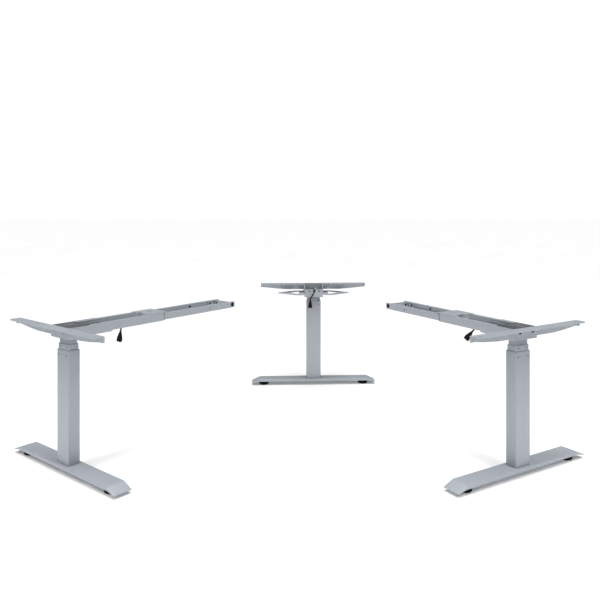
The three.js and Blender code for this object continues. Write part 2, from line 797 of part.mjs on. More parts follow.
function cornerPieces() {
  const plugTop = [-20, -58, 486];
  const plugDirection = [-0.05, 0, -1];
  return [
    ...commonPieces(CORNER_HEAD_BOTTOM, 487.5),
    ["head", cornerHead(), coat],
    ["arm_a", cornerArm(-1), coat],
    ["arm_b", cornerArm(1), coat],
    ["wing_plate_a", wingPlate(-1), coat],
    ["wing_plate_b", wingPlate(1), coat],
    [
      "lead",
      lead([
        [3, GEARBOX_FRONT - 0.5, 531],
        [3, GEARBOX_FRONT - 7, 532],
        [2.5, CORNER_HEAD_FRONT - 3, 531.5],
        [0, -56, 526],
        [-6, -60.5, 515],
        [-14, -60, 501],
        beyond(plugTop, plugDirection, -6),
        beyond(plugTop, plugDirection, -GAP),
      ]),
      blackPlastic,
    ],
    ["plug", plug(plugTop, plugDirection), blackPlastic],
  ];
}

// Where each column stands on the floor and how far its foot is turned clockwise, seen from above.
const STANDS = [
  {
    name: "left",
    at: [-886, -672],
    turn: 39,
    pieces: sidePieces({
      headBack: 163,
      railEnd: 417,
      beamEnd: 815,
      slotBack: 128,
      nearSide: 1,
      plugReach: 218,
      plugDirection: [-0.12, -0.08, -1],
    }),
  },
  {
    name: "corner",
    at: [80, 550],
    turn: -2.7,
    pieces: cornerPieces(),
  },
  {
    name: "right",
    at: [852, -692],
    turn: -31.5,
    pieces: sidePieces({
      headBack: 141,
      railEnd: 370,
      beamEnd: 705,
      slotBack: 104,
      nearSide: -1,
      plugReach: 206,
      plugDirection: [-0.8, 0.35, -1],
    }),
  },
];

const root = new THREE.Group();
root.name = "corner_desk_frame";
const footprint = new THREE.Box3();
for (const stand of STANDS) {
  for (const [name, body, material] of stand.pieces) {
    const geometry = geometryOf(body);
    geometry.rotateZ(THREE.MathUtils.degToRad(-stand.turn));
    geometry.translate(stand.at[0], stand.at[1], 0);
    geometry.computeBoundingBox();
    if (name !== "lead" && name !== "plug") footprint.union(geometry.boundingBox);
    const mesh = new THREE.Mesh(geometry, material);
    mesh.name = `${stand.name}_${name}`;
    root.add(mesh);
  }
}

// The origin is the middle of the whole footprint, on the floor.
const middle = footprint.getCenter(new THREE.Vector3());
for (const mesh of root.children) {
  mesh.geometry.translate(-middle.x, -middle.y, 0);
  mesh.geometry.computeVertexNormals();
}

export default root;
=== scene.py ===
import math

import bmesh
import bpy
import numpy as np
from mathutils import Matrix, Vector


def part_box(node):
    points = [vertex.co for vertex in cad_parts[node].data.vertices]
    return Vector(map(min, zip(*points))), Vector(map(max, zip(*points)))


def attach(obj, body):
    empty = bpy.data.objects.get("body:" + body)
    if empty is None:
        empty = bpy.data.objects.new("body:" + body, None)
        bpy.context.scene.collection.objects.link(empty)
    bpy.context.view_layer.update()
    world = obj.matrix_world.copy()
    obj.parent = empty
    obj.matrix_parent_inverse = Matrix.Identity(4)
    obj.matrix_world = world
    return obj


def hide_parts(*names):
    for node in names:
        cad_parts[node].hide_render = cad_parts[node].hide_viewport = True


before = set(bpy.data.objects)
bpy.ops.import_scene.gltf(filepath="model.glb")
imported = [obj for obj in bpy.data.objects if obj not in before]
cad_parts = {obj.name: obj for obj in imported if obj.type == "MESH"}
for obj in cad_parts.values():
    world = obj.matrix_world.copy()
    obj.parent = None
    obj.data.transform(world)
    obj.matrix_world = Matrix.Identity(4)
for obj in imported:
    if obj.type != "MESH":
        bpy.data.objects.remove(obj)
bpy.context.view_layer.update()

# ---------- The three stands ----------
# The frame of a corner desk is three free stands, each with its own axes: across along its foot,
# out along its beam, and up. Sizes below are in millimetres in those axes, from the column's axis.
STANDS = ("left", "corner", "right")
SIDE_STANDS = ("left", "right")
CLOCKWISE_TURN = {"left": 39.0, "corner": -2.7, "right": -31.5}
HEAD_FLOOR = {"left": 522.0, "corner": 498.0, "right": 522.0}
MM = 0.001


def placed(stand, points):
    """Points of a stand in millimetres, as points of the frame in metres.

    Each point is turned clockwise about the column's axis by the stand's turn, and the axis is
    the middle of the outer tube's box.
    """
    points = np.asarray(points, float) * MM
    low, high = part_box(f"{stand}_outer_tube")
    turn = math.radians(CLOCKWISE_TURN[stand])
    across, out = points[..., 0], points[..., 1]
    x = (low.x + high.x) / 2 + across * math.cos(turn) + out * math.sin(turn)
    y = (low.y + high.y) / 2 - across * math.sin(turn) + out * math.cos(turn)
    return np.stack([x, y, points[..., 2]], axis=-1)


# ---------- Feet ----------
# Each foot is one pressed steel channel, 3 mm sheet, open below, with its two ends drawn down to
# a thin lip. It is powder coated in a fine silver grey, and carries the column in its middle.
FOOT_HALF = 350.0
FOOT_HALF_WIDTH = 38.0
FOOT_TOP = 34.0
FOOT_SLOPE = 45.0
FOOT_TIP_TOP = 15.0
FOOT_TIP_BOTTOM = 12.0
FOOT_SIDE_BOTTOM = 21.0
FOOT_TAPER = 40.0
FOOT_SHEET = 3.0
FOOT_SHOULDER = 2.5


def finish_of(name, dark, light, gloss, grain, grain_depth, patch=6.0, metallic=0.0, fleck=0.05):
    """A finish that varies at three sizes, all read from Object coordinates.

    Wide soft patches move the colour from dark to light and the roughness between its two values,
    a fleck the size of the grain lightens and darkens it a little more, and the grain itself
    raises the surface by grain_depth metres. grain and patch are how many fit in a metre.
    """
    material = bpy.data.materials.new(name)
    material.use_nodes = True
    tree = material.node_tree
    shader = tree.nodes["Principled BSDF"]
    shader.inputs["Metallic"].default_value = metallic
    place = tree.nodes.new("ShaderNodeTexCoord")
    patches = tree.nodes.new("ShaderNodeTexNoise")
    patches.inputs["Scale"].default_value = patch
    patches.inputs["Detail"].default_value = 4.0
    grains = tree.nodes.new("ShaderNodeTexNoise")
    grains.inputs["Scale"].default_value = grain
    grains.inputs["Detail"].default_value = 2.0
    tone = tree.nodes.new("ShaderNodeValToRGB")
    tone.color_ramp.elements[0].position, tone.color_ramp.elements[1].position = 0.3, 0.7
    tone.color_ramp.elements[0].color = (*dark, 1)
    tone.color_ramp.elements[1].color = (*light, 1)
    specks = tree.nodes.new("ShaderNodeMapRange")
    specks.inputs["From Min"].default_value, specks.inputs["From Max"].default_value = 0.3, 0.7
    specks.inputs["To Min"].default_value = 1.0 - fleck
    specks.inputs["To Max"].default_value = 1.0 + fleck
    colour = tree.nodes.new("ShaderNodeVectorMath")
    colour.operation = "SCALE"
    rough = tree.nodes.new("ShaderNodeMapRange")
    rough.inputs["From Min"].default_value, rough.inputs["From Max"].default_value = 0.3, 0.7
    rough.inputs["To Min"].default_value, rough.inputs["To Max"].default_value = gloss
    bump = tree.nodes.new("ShaderNodeBump")
    bump.inputs["Strength"].default_value = 0.6
    bump.inputs["Distance"].default_value = grain_depth
    link = tree.links.new
    link(place.outputs["Object"], patches.inputs["Vector"])
    link(place.outputs["Object"], grains.inputs["Vector"])
    link(patches.outputs["Fac"], tone.inputs["Fac"])
    link(grains.outputs["Fac"], specks.inputs["Value"])
    link(tone.outputs["Color"], colour.inputs[0])
    link(specks.outputs["Result"], colour.inputs["Scale"])
    link(colour.outputs["Vector"], shader.inputs["Base Color"])
    link(patches.outputs["Fac"], rough.inputs["Value"])
    link(rough.outputs["Result"], shader.inputs["Roughness"])
    link(grains.outputs["Fac"], bump.inputs["Height"])
    link(bump.outputs["Normal"], shader.inputs["Normal"])
    return material


powder_coat = finish_of(
    "powder_coat", (0.395, 0.425, 0.465), (0.42, 0.45, 0.49), (0.4, 0.52),
    grain=850, grain_depth=0.00012, patch=7, metallic=0.15, fleck=0.06,
)


def made(name, shell, body, finish, nodes=(), crisp=35):
    """One finished piece from its points and faces.

    Doubled points are merged, so that seams and poles close, faces are turned outwards, and edges
    that bend more than crisp degrees stay sharp. It rides on its body and stands for the nodes.
    """
    points, faces = shell
    mesh = bpy.data.meshes.new(name)
    mesh.from_pydata(points.reshape(-1, 3), [], faces)
    skin = bmesh.new()
    skin.from_mesh(mesh)
    bmesh.ops.remove_doubles(skin, verts=skin.verts, dist=2e-6)
    bmesh.ops.dissolve_degenerate(skin, edges=skin.edges, dist=1e-6)
    bmesh.ops.recalc_face_normals(skin, faces=skin.faces)
    skin.to_mesh(mesh)
    skin.free()
    mesh.shade_smooth()
    mesh.set_sharp_from_angle(angle=math.radians(crisp))
    mesh.materials.append(finish)
    piece = bpy.data.objects.new(name, mesh)
    bpy.context.scene.collection.objects.link(piece)
    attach(piece, body)
    if nodes:
        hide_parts(*nodes)
    return piece


def squares(points, round_rows=False, round_columns=True, ends=True):
    """The points of a grid, and its faces: one square between each row and the next.

    Columns, and rows where asked, go on from the last to the first. ends closes an open tube
    with its first and its last row.
    """
    rows, columns = points.shape[:2]
    row, column = np.meshgrid(
        np.arange(rows if round_rows else rows - 1),
        np.arange(columns if round_columns else columns - 1),
        indexing="ij",
    )
    below, beside = (row + 1) % rows * columns, (column + 1) % columns
    corners = [row * columns + column, row * columns + beside, below + beside, below + column]
    faces = np.stack(corners, axis=-1).reshape(-1, 4).tolist()
    if ends and not round_rows:
        faces.append(list(range(columns))[::-1])
        faces.append(list(range((rows - 1) * columns, rows * columns)))
    return points, faces


def joined(*shells):
    """Several shells as one: their points one after another, with each one's faces renumbered."""
    points = np.concatenate([shell[0].reshape(-1, 3) for shell in shells])
    faces, first = [], 0
    for part, part_faces in shells:
        faces += [[first + corner for corner in face] for face in part_faces]
        first += part.reshape(-1, 3).shape[0]
    return points, faces


def foot_shell():
    """The channel's closed loop of outer and inner skin, carried from tip to tip.

    The top stays level, then falls in a straight line over the slope, with the crease softened by
    the soft minimum -k log(exp(-a / k) + exp(-b / k)) of the two heights. The shoulders are
    quarter circles, the inner skin lies one sheet inside, and both ends come down to the lip.
    """
    along = np.concatenate([
        [-FOOT_HALF], np.linspace(-FOOT_HALF, -FOOT_HALF + 62, 32), np.linspace(-280, 280, 15),
        np.linspace(FOOT_HALF - 62, FOOT_HALF, 32), [FOOT_HALF],
    ])
    level = np.full_like(along, FOOT_TOP)
    fall = (FOOT_TOP - FOOT_TIP_TOP) / FOOT_SLOPE
    ramp = FOOT_TIP_TOP + (FOOT_HALF - np.abs(along)) * fall
    soft = 0.5
    top = level - soft * np.log1p(np.exp((level - ramp) / soft))
    foot_rise = np.clip((FOOT_HALF - np.abs(along)) / FOOT_TAPER, 0, 1)
    bottom = FOOT_TIP_BOTTOM + (FOOT_SIDE_BOTTOM - FOOT_TIP_BOTTOM) * foot_rise

    def skin(along, top, inset, shoulder):
        """One skin's section at each station: up one side, over the shoulders, down the other."""
        half = FOOT_HALF_WIDTH - inset
        radius = np.minimum(shoulder, (top - bottom) * 0.8)[:, None]
        bend = np.radians(np.linspace(0, 90, 9))[None, :]
        rise = top[:, None] - radius + radius * np.sin(bend)
        side = half - radius + radius * np.cos(bend)
        low = bottom[:, None]
        across = np.hstack([-half + 0 * low, -side, side[:, ::-1], half + 0 * low])
        height = np.hstack([low, rise, rise[:, ::-1], low])
        height[[0, -1]] = low[[0, -1]]
        stations = np.broadcast_to(along[:, None], across.shape)
        return np.stack([stations, across, height], axis=-1)

    outer = skin(along, top, 0, FOOT_SHOULDER)
    inner_along = np.clip(along, -FOOT_HALF + FOOT_SHEET, FOOT_HALF - FOOT_SHEET)
    thickness = np.where(np.abs(along) > FOOT_HALF - FOOT_SLOPE, FOOT_SHEET * 1.1, FOOT_SHEET)
    inner_top = np.minimum(top, FOOT_TIP_TOP + (FOOT_HALF - np.abs(inner_along)) * fall) - thickness
    inner = skin(inner_along, inner_top, FOOT_SHEET, 1.2)
    loop = np.concatenate([outer, inner[:, ::-1]], axis=1)
    points, faces = squares(loop, ends=False)
    rows, columns = loop.shape[:2]
    half = columns // 2
    for start, way in ((0, 1), ((rows - 1) * columns, -1)):
        for i in range(half - 1):
            rim = [start + i, start + i + 1, start + columns - 2 - i, start + columns - 1 - i]
            faces.append(rim[::way])
    return points, faces


def on_stand(stand, shell):
    """A shell made in a stand's own axes, put where that stand is."""
    return placed(stand, shell[0]), shell[1]


for stand in STANDS:
    foot = on_stand(stand, foot_shell())
    made(f"{stand}_pressed_foot", foot, f"{stand}_stand", powder_coat,
         [f"{stand}_foot"])

# ---------- Levelling glides ----------
# Under each end of a foot is a moulded black pad on a threaded steel stud. It screws up and down
# in a hexagonal nut that is welded inside the channel, to take up an uneven floor.
GLIDE_PLACES = {"a": -282.5, "b": 282.5}
STUD_RADIUS = 5.0
STUD_PITCH = 1.5
NUT_RADIUS = 10
NUT_BOTTOM, NUT_TOP = 15, 30.9
moulded_black = finish_of(
    "moulded_black", (0.004, 0.0042, 0.0048), (0.008, 0.0084, 0.0092), (0.5, 0.64),
    grain=1500, grain_depth=0.00008, patch=30, fleck=0.12,
)
moulded_black.node_tree.nodes["Principled BSDF"].inputs["Specular IOR Level"].default_value = 0.12
zinc_plate = finish_of(
    "zinc_plate", (0.42, 0.43, 0.44), (0.55, 0.56, 0.57), (0.24, 0.4),
    grain=900, grain_depth=0.00003, patch=60, metallic=0.95, fleck=0.05,
)


def turned(profile, sides=48):
    """A profile of [radius, height] carried round the upright axis: x = r cos a, y = r sin a."""
    profile = np.asarray(profile, float)
    angle = 2 * np.pi * np.arange(sides) / sides
    radius, height = profile[:, :1], profile[:, 1:]
    return np.stack(
        [radius * np.cos(angle), radius * np.sin(angle), height + 0 * angle], axis=-1
    )


def thread(radius, depth, pitch, low, high, sides=32, steps=8):
    """A threaded bar: its radius falls by depth times a triangle wave of height / pitch - turn.

    The wave climbs and falls once a pitch, and its phase goes round with the angle, which makes
    one continuous helix. It fades out at both ends.
    """
    count = int((high - low) / pitch * steps) + 1
    height = np.linspace(low, high, count)[:, None]
    turn = (np.arange(sides) / sides)[None, :]
    wave = np.abs(((height / pitch - turn) % 1.0) * 2 - 1)
    fade = np.clip((np.minimum(height - low, high - height)) / pitch, 0, 1)
    reach = radius - depth * (wave * fade + 1 - fade)
    angle = 2 * np.pi * turn
    return np.stack([reach * np.cos(angle), reach * np.sin(angle), height + 0 * angle], axis=-1)


def moved(points, across, out, up=0.0):
    """The points, shifted along a stand's own axes."""
    return points + np.array([across, out, up])


def glide_pad():
    """A low dome with a soft sole, its rim scalloped by a cosine of 36 waves for a finger grip."""
    profile = np.array([
        [0, 0], [23.4, 0], [24.6, 0.5], [25.6, 1.6], [26.2, 3], [26.6, 4], [26.6, 8.2], [26.2, 9.4],
        [25.2, 10.4], [23.8, 11], [9, 11], [8.2, 10.6], [6.2, 10.6], [5.2, 10.2], [0, 10.2],
    ])
    pad = turned(profile, 144)
    angle = 2 * np.pi * np.arange(144) / 144
    grip = np.where((profile[:, 1:] > 2.5) & (profile[:, :1] > 26), 0.35 * np.cos(36 * angle), 0)
    pad[..., 0] += grip * np.cos(angle)
    pad[..., 1] += grip * np.sin(angle)
    return pad


def nut(radius, bore, low, high):
    """A hexagon bar with a round bore: radius / cos of the angle to the nearest flat, chamfered."""
    angle = 2 * np.pi * np.arange(96) / 96
    flat = radius * math.cos(math.pi / 6) / np.cos((angle + np.pi / 6) % (np.pi / 3) - np.pi / 6)
    crown = np.minimum(flat, radius * 0.93)
    rows = [
        (flat, low + 1.2), (crown, low), (np.full(96, bore + 0.6), low),
        (np.full(96, bore), low + 0.6),
        (np.full(96, bore), high), (flat, high),
    ]
    return np.stack([
        np.stack([reach * np.cos(angle), reach * np.sin(angle), np.full(96, z)], axis=-1)
        for reach, z in rows
    ])


for stand in STANDS:
    for end, across in GLIDE_PLACES.items():
        body = f"{stand}_glide_{end}_body"
        pad = squares(placed(stand, moved(glide_pad(), across, 0)), ends=False)
        stud = squares(
            placed(stand, moved(thread(STUD_RADIUS, 0.75, STUD_PITCH, 10.4, 29.4), across, 0))
        )
        weld_nut = squares(
            placed(stand, moved(nut(NUT_RADIUS, STUD_RADIUS + 0.5, NUT_BOTTOM, NUT_TOP), across, 0)),
            round_rows=True,
        )
        made(f"{stand}_glide_{end}_pad", pad, body, moulded_black,
             [f"{stand}_glide_{end}"])
        made(f"{stand}_glide_{end}_stud", stud, body, zinc_plate)
        made(f"{stand}_glide_{end}_nut", weld_nut, f"{stand}_stand", zinc_plate)

# ---------- Columns ----------
# Each column is three rounded rectangular steel tubes that slide in one another, the widest at
# the bottom, powder coated like the foot. The outer one is welded to a base plate on the foot.
OUTER_TUBE = (80.0, 50.0, 3.5)
MIDDLE_TUBE = (73.0, 43.0, 3.2)
INNER_TUBE = (66.4, 36.4, 2.8)
MIDDLE_TOP = {"left": 496.0, "corner": 487.5, "right": 496.0}
OUTER_TOP = 473.0
BASE_TOP = 39.3
BASE_PLATE = (75.6, 45.6, 3)
BASE_ROWS = [(0.5, 34.4), (0, 34.9), (0, 39), (0.4, 39.4)]


def rounded_frame(size, inset=0.0, steps=8):
    """The outline of a rectangle with round corners, moved inwards by inset.

    Each corner is a quarter circle about its own centre, its radius less the inset.
    """
    width, depth, corner = size
    radius = max(corner - inset, 0.4)
    quarters = [np.linspace(first, first + 90, steps + 1) for first in (0, 90, 180, 270)]
    angle = np.radians(np.concatenate(quarters))
    side = np.repeat([1, -1, -1, 1], steps + 1), np.repeat([1, 1, -1, -1], steps + 1)
    across = side[0] * (width / 2 - inset - radius) + radius * np.cos(angle)
    out = side[1] * (depth / 2 - inset - radius) + radius * np.sin(angle)
    return np.stack([across, out], axis=-1)


def framed(size, rows):
    """A rounded outline repeated at each [inset, height], as a grid of points."""
    return np.stack([
        np.column_stack([outline, np.full(len(outline), height)])
        for outline, height in ((rounded_frame(size, inset), height) for inset, height in rows)
    ])


def tube_wall(wall, low, high):
    """The section of a tube's wall: both faces and its two ends, each end with eased edges."""
    ease = 0.5
    return [
        (ease * 0.3, low + ease * 0.3), (0, low + ease), (0, high - ease),
        (ease * 0.3, high - ease * 0.3), (ease, high), (wall - ease, high),
        (wall - ease * 0.3, high - ease * 0.3), (wall, high - ease), (wall, low + ease),
        (wall - ease * 0.3, low + ease * 0.3), (wall - ease, low), (ease, low),
    ]


for stand in STANDS:
    head_floor = HEAD_FLOOR[stand]
    tubes = (
        ("outer_tube", OUTER_TUBE, 2.0, 34.3, OUTER_TOP, "stand"),
        ("middle_tube", MIDDLE_TUBE, 1.8, 50.0, MIDDLE_TOP[stand], "middle_stage"),
        ("inner_tube", INNER_TUBE, 1.8, 58.0, head_floor - 0.3, "head_stage"),
    )
    for tube, size, wall, low, high, body in tubes:
        drawn = squares(placed(stand, framed(size, tube_wall(wall, low, high))), round_rows=True)
        made(f"{stand}_drawn_{tube}", drawn, f"{stand}_{body}", powder_coat,
             [f"{stand}_{tube}"])
    plate = squares(placed(stand, framed(BASE_PLATE, BASE_ROWS)))
    made(f"{stand}_base_plate", plate, f"{stand}_stand", powder_coat)
    screw = squares(placed(stand, thread(7.0, 1.6, 8.0, BASE_TOP, head_floor - 60, 24, 8)))
    made(f"{stand}_centre_screw", screw, f"{stand}_stand", zinc_plate)

# ---------- Slide bushings ----------
# In the gap between two tubes sits a thin moulded grey sleeve, whose collar lies on the rim of
# the wider tube. Small set screws through the tube's wall hold each one in place.
moulded_grey = finish_of(
    "moulded_grey", (0.3, 0.32, 0.345), (0.35, 0.37, 0.395), (0.5, 0.62),
    grain=1300, grain_depth=0.00006, patch=25, fleck=0.05,
)
black_oxide = finish_of(
    "black_oxide", (0.010, 0.0105, 0.012), (0.02, 0.021, 0.023), (0.4, 0.55),
    grain=1200, grain_depth=0.00003, patch=90, metallic=0.6, fleck=0.1,
)
SLEEVE = 0.9
SLEEVE_DEPTH = 34.0
OUTER_SCREW_DOWN, MIDDLE_SCREW_DOWN = 18, 9
SET_SCREW_IN = 13


def aimed(points, origin, direction):
    """Points made about the upright axis, tipped so that it lies along a direction from origin.

    This is the smallest turn that does it: I + K + K K / (1 + c), where K is the cross product
    with up x direction and c the cosine between them.
    """
    toward = np.asarray(direction, float) / np.linalg.norm(direction)
    if toward[2] < -0.9999:
        return points * [1, -1, -1] + np.asarray(origin, float)
    x, y, z = np.cross([0, 0, 1], toward)
    cross = np.array([[0, -z, y], [z, 0, -x], [-y, x, 0]])
    tip = np.eye(3) + cross + cross @ cross / (1 + toward[2])
    return points @ tip.T + np.asarray(origin, float)


def button_screw(radius, height, socket):
    """A domed screw head with a round socket: an arc from the rim up to the socket's edge."""
    bow = np.radians(np.linspace(0, 68, 9))
    dome = np.column_stack([
        socket + (radius - socket) * np.cos(bow), height * np.sin(bow) / math.sin(bow[-1])
    ])
    return np.vstack([[0, -0.2], [radius, -0.2], dome, [socket, height],
                      [socket * 0.9, height * 0.25], [0, height * 0.25]])


for stand in STANDS:
    rims = (
        ("lower_bushing", OUTER_TUBE, MIDDLE_TUBE, OUTER_TOP, "stand"),
        ("upper_bushing", MIDDLE_TUBE, INNER_TUBE, MIDDLE_TOP[stand], "middle_stage"),
    )
    for bushing, holder, slider, rim, body in rims:
        bore = (slider[0] + 0.6, slider[1] + 0.6, slider[2] + 0.3)
        reach = (holder[0] - bore[0]) / 2 - 0.4
        wall = [
            (0.1, rim - SLEEVE_DEPTH), (0, rim - SLEEVE_DEPTH + 0.4),
            (0, rim + 2.1), (-0.2, rim + 2.3),
            (-reach + 0.5, rim + 2.3), (-reach + 0.1, rim + 2.15), (-reach, rim + 1.8),
            (-reach, rim + 0.6), (-reach + 0.3, rim + 0.3), (-SLEEVE, rim + 0.3),
            (-SLEEVE, rim - SLEEVE_DEPTH + 0.4), (-SLEEVE + 0.1, rim - SLEEVE_DEPTH),
        ]
        sleeve = squares(placed(stand, framed(bore, wall)), round_rows=True)
        made(f"{stand}_moulded_{bushing}", sleeve, f"{stand}_{body}", moulded_grey,
             [f"{stand}_{bushing}"])
    set_screw = turned(button_screw(2.6, 0.7, 1.1), 20)
    for tube, size, high, body in (
        ("outer", OUTER_TUBE, OUTER_TOP - OUTER_SCREW_DOWN, "stand"),
        ("middle", MIDDLE_TUBE, MIDDLE_TOP[stand] - MIDDLE_SCREW_DOWN, "middle_stage"),
    ):
        width, depth = size[:2]
        screws = [
            squares(placed(stand, aimed(set_screw, (across, side * depth / 2, high),
                                        (0, side, 0))), ends=False)
            for side in (-1, 1) for across in (-width / 2 + SET_SCREW_IN, width / 2 - SET_SCREW_IN)
        ]
        made(f"{stand}_{tube}_set_screws", joined(*screws), f"{stand}_{body}", black_oxide)

# ---------- Drive ----------
# A motor and its worm gearbox lie in the head along the beam. Below them a drive tube turns a
# hollow screw on the fixed centre screw, so both upper tubes rise together. Ground steel.
ground_steel = finish_of(
    "ground_steel", (0.4, 0.41, 0.42), (0.5, 0.51, 0.52), (0.2, 0.34),
    grain=700, grain_depth=0.00004, patch=50, metallic=1.0, fleck=0.04,
)
motor_paint = finish_of(
    "motor_paint", (0.075, 0.08, 0.088), (0.095, 0.1, 0.11), (0.38, 0.5),
    grain=1100, grain_depth=0.00008, patch=20, metallic=0.1, fleck=0.08,
)
cast_housing = finish_of(
    "cast_housing", (0.12, 0.125, 0.135), (0.15, 0.155, 0.165), (0.42, 0.56),
    grain=650, grain_depth=0.0002, patch=35, metallic=0.4, fleck=0.12,
)
GEARBOX_MIDDLE = 20.8
GEARBOX_FACE = -33
for stand in STANDS:
    for node in ("hollow_screw", "drive_tube"):
        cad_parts[f"{stand}_{node}"].material_slots[0].material = ground_steel
    middle = HEAD_FLOOR[stand] + GEARBOX_MIDDLE
    case_rows = [
        (1.6, -33), (0.5, -32.5), (0, -31.4), (0, -3), (0.6, -2.4), (0.6, -1.6), (0, -1),
        (0, 30.6), (0.4, 31.6), (1.4, 32),
    ]
    case = framed((54, 36, 6), case_rows)[..., [0, 2, 1]] + [0, 0, middle]
    can_rows = [
        [0, 31], [16.6, 31], [17, 31.8], [17, 44], [16.5, 44.6], [16.5, 47.4], [17, 48], [17, 126],
        [16.5, 126.6], [16.5, 129.4], [17, 130], [17, 136.4], [16.6, 137.4], [15.4, 138],
        [14, 138.2],
        [14, 148.8], [13.4, 149.8], [12.4, 150], [0, 150],
    ]
    can = aimed(turned(can_rows, 56), (0, 0, middle), (0, 1, 0))
    made(f"{stand}_gearbox", squares(placed(stand, case)), f"{stand}_head_stage", cast_housing,
         [f"{stand}_gear_motor"])
    made(f"{stand}_motor_can", squares(placed(stand, can), ends=False), f"{stand}_head_stage",
         motor_paint)
    cover_screws = [
        squares(placed(stand, aimed(turned(button_screw(3.2, 1.8, 1.4), 24),
                                    (across, GEARBOX_FACE, middle + up), (0, -1, 0))), ends=False)
        for across in (-20, 20) for up in (-12, 12)
    ]
    made(f"{stand}_gearbox_screws", joined(*cover_screws), f"{stand}_head_stage", black_oxide)

# ---------- Heads ----------
# A head is a box folded from 2.5 mm sheet round the gearbox, open on top. Its floor is welded to
# the inner tube, and on the side stands its walls run on to hold the beam. Powder coated.


def eased(node, body, name, ease=0.7):
    """A pressed sheet piece with its cut edges and folds eased.

    It is a merged copy of the CAD solid, with its flat faces made whole and every edge over 30
    degrees rounded by an arc of that many millimetres.
    """
    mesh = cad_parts[node].data.copy()
    mesh.name = name
    skin = bmesh.new()
    skin.from_mesh(mesh)
    bmesh.ops.remove_doubles(skin, verts=skin.verts, dist=2e-6)
    bmesh.ops.dissolve_limit(
        skin, angle_limit=math.radians(1.5), verts=skin.verts, edges=skin.edges
    )
    skin.to_mesh(mesh)
    skin.free()
    mesh.shade_smooth()
    mesh.set_sharp_from_angle(angle=math.radians(35))
    mesh.materials.clear()
    mesh.materials.append(powder_coat)
    piece = bpy.data.objects.new(name, mesh)
    bpy.context.scene.collection.objects.link(piece)
    soften = piece.modifiers.new("eased_edges", "BEVEL")
    soften.width = ease * MM
    soften.segments = 2
    soften.limit_method = "ANGLE"
    soften.angle_limit = math.radians(30)
    soften.harden_normals = True
    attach(piece, body)
    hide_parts(node)
    return piece


def weld_bead(size, height, radius=1.7):
    """A round bead laid along a rounded outline, its radius rippled by a sine along the way."""
    outline = rounded_frame(size, 0, 24)
    step = np.linalg.norm(np.roll(outline, -1, 0) - outline, axis=1)
    far = np.concatenate([[0], np.cumsum(step)])
    at = np.linspace(0, far[-1], 360, endpoint=False)
    closed = np.vstack([outline, outline[:1]])
    path = np.column_stack([np.interp(at, far, closed[:, 0]), np.interp(at, far, closed[:, 1])])
    along = np.roll(path, -1, 0) - np.roll(path, 1, 0)
    outward = np.column_stack([along[:, 1], -along[:, 0]])
    outward /= np.linalg.norm(outward, axis=1)[:, None]
    swell = radius * (1 + 0.12 * np.sin(2 * np.pi * np.round(far[-1] / 2.6) * at / far[-1]))
    angle = (2 * np.pi * np.arange(10) / 10)[:, None]
    flat = path[None] + outward[None] * (np.cos(angle) * swell[None])[..., None]
    rise = height + np.sin(angle) * swell[None]
    return np.concatenate([flat, rise[..., None]], axis=-1)


for stand in STANDS:
    eased(f"{stand}_head", f"{stand}_head_stage", f"{stand}_folded_head")
    bead = squares(placed(stand, weld_bead(INNER_TUBE, HEAD_FLOOR[stand] - 0.9)), round_rows=True)
    made(f"{stand}_head_weld", bead, f"{stand}_head_stage", powder_coat)

# ---------- Arms ----------
# The arms are pressed from 3 mm sheet: a slotted top flange, with a deep web behind it that
# thins towards the ends. They carry the table top, and two bolts hold each to its head.
SIDE_ARM_WEB = -40.3
ARM_BOLT_HEIGHT = 552.0
for stand in SIDE_STANDS:
    eased(f"{stand}_arm", f"{stand}_head_stage", f"{stand}_pressed_arm", 0.9)
    bolts = [
        squares(
            placed(stand, aimed(turned(button_screw(7.2, 4.2, 3.0), 32),
                                (across, SIDE_ARM_WEB, ARM_BOLT_HEIGHT), (0, -1, 0))),
            ends=False,
        )
        for across in (-35, 35)
    ]
    made(f"{stand}_arm_bolts", joined(*bolts), f"{stand}_head_stage", black_oxide)
for end in ("a", "b"):
    eased(f"corner_arm_{end}", "corner_head_stage", f"corner_pressed_arm_{end}", 0.9)
    eased(f"corner_wing_plate_{end}", "corner_head_stage", f"corner_cut_wing_plate_{end}", 0.8)

# ---------- Beams ----------
# Each side stand's beam is a pair of channel rails that slide in an outer pair. The outer pair is
# tied by a bridge plate, and the inner pair ends in a drilled bracket for the corner stand.
for stand in SIDE_STANDS:
    for side in ("a", "b"):
        eased(f"{stand}_outer_rail_{side}", f"{stand}_head_stage",
              f"{stand}_folded_outer_rail_{side}")
        eased(f"{stand}_inner_rail_{side}", f"{stand}_beam_slide",
              f"{stand}_folded_inner_rail_{side}")
    eased(f"{stand}_bridge_plate", f"{stand}_head_stage", f"{stand}_cut_bridge_plate", 0.5)
    eased(f"{stand}_end_bracket", f"{stand}_beam_slide", f"{stand}_folded_end_bracket")

